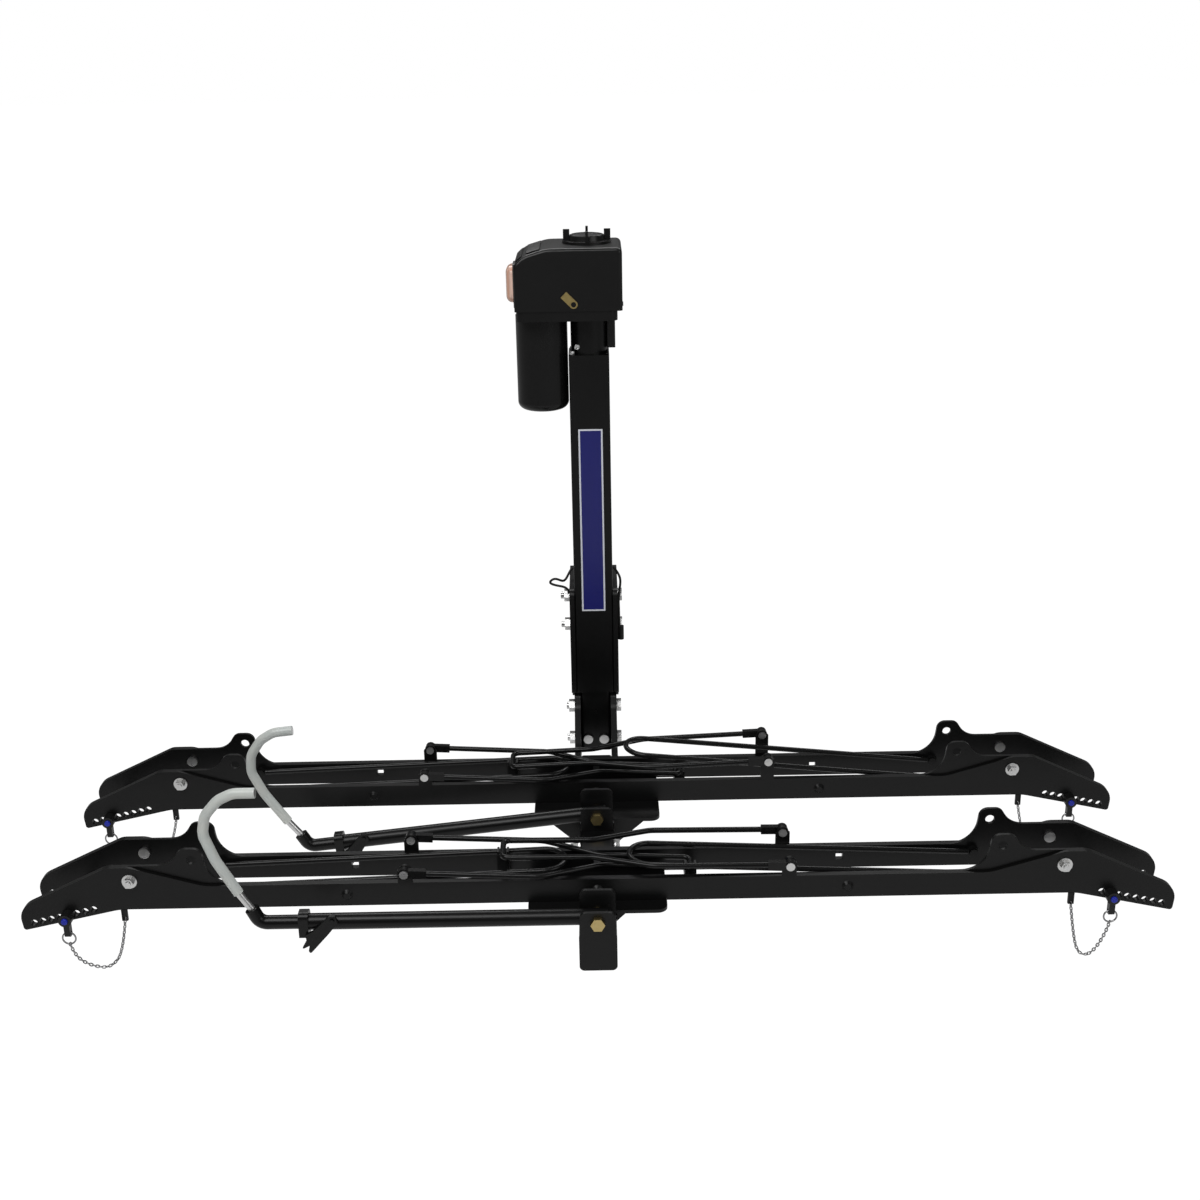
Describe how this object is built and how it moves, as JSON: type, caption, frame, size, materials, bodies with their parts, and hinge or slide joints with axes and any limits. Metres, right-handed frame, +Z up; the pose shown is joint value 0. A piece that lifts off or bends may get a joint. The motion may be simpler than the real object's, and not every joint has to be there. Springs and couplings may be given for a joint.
{
  "type": "electric bike lift",
  "caption": "Hitch-mounted powered lift with a screw-driven mast and two bicycle trays with fold-up wheel hoops and hooked arms.",
  "frame": {"origin": "centre of the hitch pin hole in the square bar that slides into the receiver", "axes": "+X across the vehicle to the right as seen from behind it, +Y towards the vehicle, +Z up"},
  "size_m": [1.5838, 1.0463, 0.9256],
  "materials": {
    "black_coat": "satin powder coat",
    "black_rod": "gloss powder coat",
    "head_shell": "satin moulded",
    "lens": "clear amber",
    "brass": "satin",
    "zinc": "zinc plated",
    "sleeve": "translucent vinyl",
    "black_plastic": "matte",
    "screw_steel": "greased",
    "pin_black": "satin",
    "button_blue": "gloss",
    "chain_steel": "bright"
  },
  "bodies": {
    "mast": {"mast_tube": "black_coat", "mast_pads": "black_plastic", "hitch_bar": "black_coat", "clamp_plates": "black_coat", "hitch_bolts": "zinc", "bracket_cable": "black_plastic", "jack_tube": "black_coat", "head_base": "black_coat", "head_cover": "head_shell", "light_base": "head_shell", "light_lens": "lens", "motor_can": "black_coat", "power_socket": "head_shell"},
    "lock_tab": {"lock_tab": "brass"},
    "crank_cap": {"crank_cap": "head_shell"},
    "screw": {"lead_screw": "screw_steel"},
    "carriage": {"carriage_tube": "black_coat", "carriage_pads": "black_plastic", "lift_nut": "brass", "carriage_bolts": "zinc", "beam_side_plates": "black_coat", "cross_beam": "black_coat", "beam_cap": "black_coat", "support_plates": "black_coat", "arm_brackets": "black_coat", "arm_bolts": "zinc", "front_inner_plates": "black_coat", "front_outer_plates": "black_coat", "rear_inner_plates": "black_coat", "rear_outer_plates": "black_coat", "tray_bolts": "zinc", "wall_bolts": "black_coat", "hoop_clips": "black_plastic", "pin_chains": "chain_steel"},
    "front_right_knuckle": {"front_right_knuckle_hoop": "black_rod"},
    "front_right_loop": {"front_right_loop_hoop": "black_rod"},
    "front_right_pin": {"front_right_pin": "pin_black"},
    "front_right_button": {"front_right_button": "button_blue"},
    "front_left_knuckle": {"front_left_knuckle_hoop": "black_rod"},
    "front_left_loop": {"front_left_loop_hoop": "black_rod"},
    "front_left_pin": {"front_left_pin": "pin_black"},
    "front_left_button": {"front_left_button": "button_blue"},
    "rear_right_knuckle": {"rear_right_knuckle_hoop": "black_rod"},
    "rear_right_loop": {"rear_right_loop_hoop": "black_rod"},
    "rear_right_pin": {"rear_right_pin": "pin_black"},
    "rear_right_button": {"rear_right_button": "button_blue"},
    "rear_left_knuckle": {"rear_left_knuckle_hoop": "black_rod"},
    "rear_left_loop": {"rear_left_loop_hoop": "black_rod"},
    "rear_left_pin": {"rear_left_pin": "pin_black"},
    "rear_left_button": {"rear_left_button": "button_blue"},
    "front_arm": {"front_arm_tube": "black_coat"},
    "front_hook": {"front_hook_rod": "zinc", "front_hook_sleeve": "sleeve"},
    "front_lever": {"front_cam_lever": "black_coat"},
    "rear_arm": {"rear_arm_tube": "black_coat"},
    "rear_hook": {"rear_hook_rod": "zinc", "rear_hook_sleeve": "sleeve"},
    "rear_lever": {"rear_cam_lever": "black_coat"}
  },
  "joints": [
    {"name": "lift", "type": "slide", "parent": "mast", "child": "carriage", "axis": [0, 0, 1], "range_m": [-0.4, 0]},
    {"name": "screw_turn", "type": "hinge", "parent": "mast", "child": "screw", "pos_m": [0, -0.3, 0], "axis": [0, 0, 1], "range_deg": [0, 22700]},
    {"name": "lock_tab_turn", "type": "hinge", "parent": "mast", "child": "lock_tab", "pos_m": [-0.0215, -0.371, 0.6264], "axis": [0, 1, 0], "range_deg": [-45, 45]},
    {"name": "crank_cap_lift", "type": "slide", "parent": "mast", "child": "crank_cap", "axis": [0, 0, 1], "range_m": [0, 0.03]},
    {"name": "front_right_knuckle_turn", "type": "hinge", "parent": "carriage", "child": "front_right_knuckle", "pos_m": [0.262, -0.8464, -0.045], "axis": [0, 1, 0], "range_deg": [0, 100]},
    {"name": "front_right_loop_turn", "type": "hinge", "parent": "carriage", "child": "front_right_loop", "pos_m": [0.53, -0.8464, -0.075], "axis": [0, 1, 0], "range_deg": [0, 100]},
    {"name": "front_right_pin_slide", "type": "slide", "parent": "carriage", "child": "front_right_pin", "axis": [0, -1, 0], "range_m": [0, 0.1]},
    {"name": "front_right_button_press", "type": "slide", "parent": "front_right_pin", "child": "front_right_button", "axis": [0, 1, 0], "range_m": [0, 0.003], "stiffness_N_per_m": 250, "springref_m": -0.003},
    {"name": "front_left_knuckle_turn", "type": "hinge", "parent": "carriage", "child": "front_left_knuckle", "pos_m": [-0.262, -0.8464, -0.047], "axis": [0, 1, 0], "range_deg": [-100, 0]},
    {"name": "front_left_loop_turn", "type": "hinge", "parent": "carriage", "child": "front_left_loop", "pos_m": [-0.53, -0.8464, -0.075], "axis": [0, 1, 0], "range_deg": [-35, 0]},
    {"name": "front_left_pin_slide", "type": "slide", "parent": "carriage", "child": "front_left_pin", "axis": [0, -1, 0], "range_m": [0, 0.1]},
    {"name": "front_left_button_press", "type": "slide", "parent": "front_left_pin", "child": "front_left_button", "axis": [0, 1, 0], "range_m": [0, 0.003], "stiffness_N_per_m": 250, "springref_m": -0.003},
    {"name": "rear_right_knuckle_turn", "type": "hinge", "parent": "carriage", "child": "rear_right_knuckle", "pos_m": [0.262, -0.5558, -0.031], "axis": [0, 1, 0], "range_deg": [0, 100]},
    {"name": "rear_right_loop_turn", "type": "hinge", "parent": "carriage", "child": "rear_right_loop", "pos_m": [0.53, -0.5558, -0.075], "axis": [0, 1, 0], "range_deg": [0, 100]},
    {"name": "rear_right_pin_slide", "type": "slide", "parent": "carriage", "child": "rear_right_pin", "axis": [0, -1, 0], "range_m": [0, 0.1]},
    {"name": "rear_right_button_press", "type": "slide", "parent": "rear_right_pin", "child": "rear_right_button", "axis": [0, 1, 0], "range_m": [0, 0.003], "stiffness_N_per_m": 250, "springref_m": -0.003},
    {"name": "rear_left_knuckle_turn", "type": "hinge", "parent": "carriage", "child": "rear_left_knuckle", "pos_m": [-0.262, -0.5558, -0.047], "axis": [0, 1, 0], "range_deg": [-100, 0]},
    {"name": "rear_left_loop_turn", "type": "hinge", "parent": "carriage", "child": "rear_left_loop", "pos_m": [-0.53, -0.5558, -0.075], "axis": [0, 1, 0], "range_deg": [-35, 0]},
    {"name": "rear_left_pin_slide", "type": "slide", "parent": "carriage", "child": "rear_left_pin", "axis": [0, -1, 0], "range_m": [0, 0.1]},
    {"name": "rear_left_button_press", "type": "slide", "parent": "rear_left_pin", "child": "rear_left_button", "axis": [0, 1, 0], "range_m": [0, 0.003], "stiffness_N_per_m": 250, "springref_m": -0.003},
    {"name": "front_arm_swing", "type": "hinge", "parent": "carriage", "child": "front_arm", "pos_m": [0, -0.9581, -0.082], "axis": [0, 1, 0], "range_deg": [-14, 100]},
    {"name": "front_hook_slide", "type": "slide", "parent": "front_arm", "child": "front_hook", "axis": [-1, 0, 0], "range_m": [-0.036, 0.12]},
    {"name": "front_lever_turn", "type": "hinge", "parent": "front_arm", "child": "front_lever", "pos_m": [-0.35, -0.9723, -0.072], "axis": [0, 1, 0], "range_deg": [0, 70]},
    {"name": "rear_arm_swing", "type": "hinge", "parent": "carriage", "child": "rear_arm", "pos_m": [0, -0.6675, -0.082], "axis": [0, 1, 0], "range_deg": [-9, 106]},
    {"name": "rear_hook_slide", "type": "slide", "parent": "rear_arm", "child": "rear_hook", "axis": [-0.9942, 0, -0.108], "range_m": [-0.024, 0.12]},
    {"name": "rear_lever_turn", "type": "hinge", "parent": "rear_arm", "child": "rear_lever", "pos_m": [-0.34903, -0.6817, -0.10986], "axis": [0, 1, 0], "range_deg": [0, 70]}
  ],
  "couplings": [
    {"joint": "screw_turn", "follows": "lift", "rad_per_m": -989.48},
    {"joint": "front_right_loop_turn", "follows": "front_right_knuckle_turn", "ratio": 1},
    {"joint": "front_left_knuckle_turn", "follows": "front_right_knuckle_turn", "ratio": -1},
    {"joint": "front_left_loop_turn", "follows": "front_right_knuckle_turn", "ratio": -0.35},
    {"joint": "rear_right_loop_turn", "follows": "rear_right_knuckle_turn", "ratio": 1},
    {"joint": "rear_left_knuckle_turn", "follows": "rear_right_knuckle_turn", "ratio": -1},
    {"joint": "rear_left_loop_turn", "follows": "rear_right_knuckle_turn", "ratio": -0.35}
  ]
}
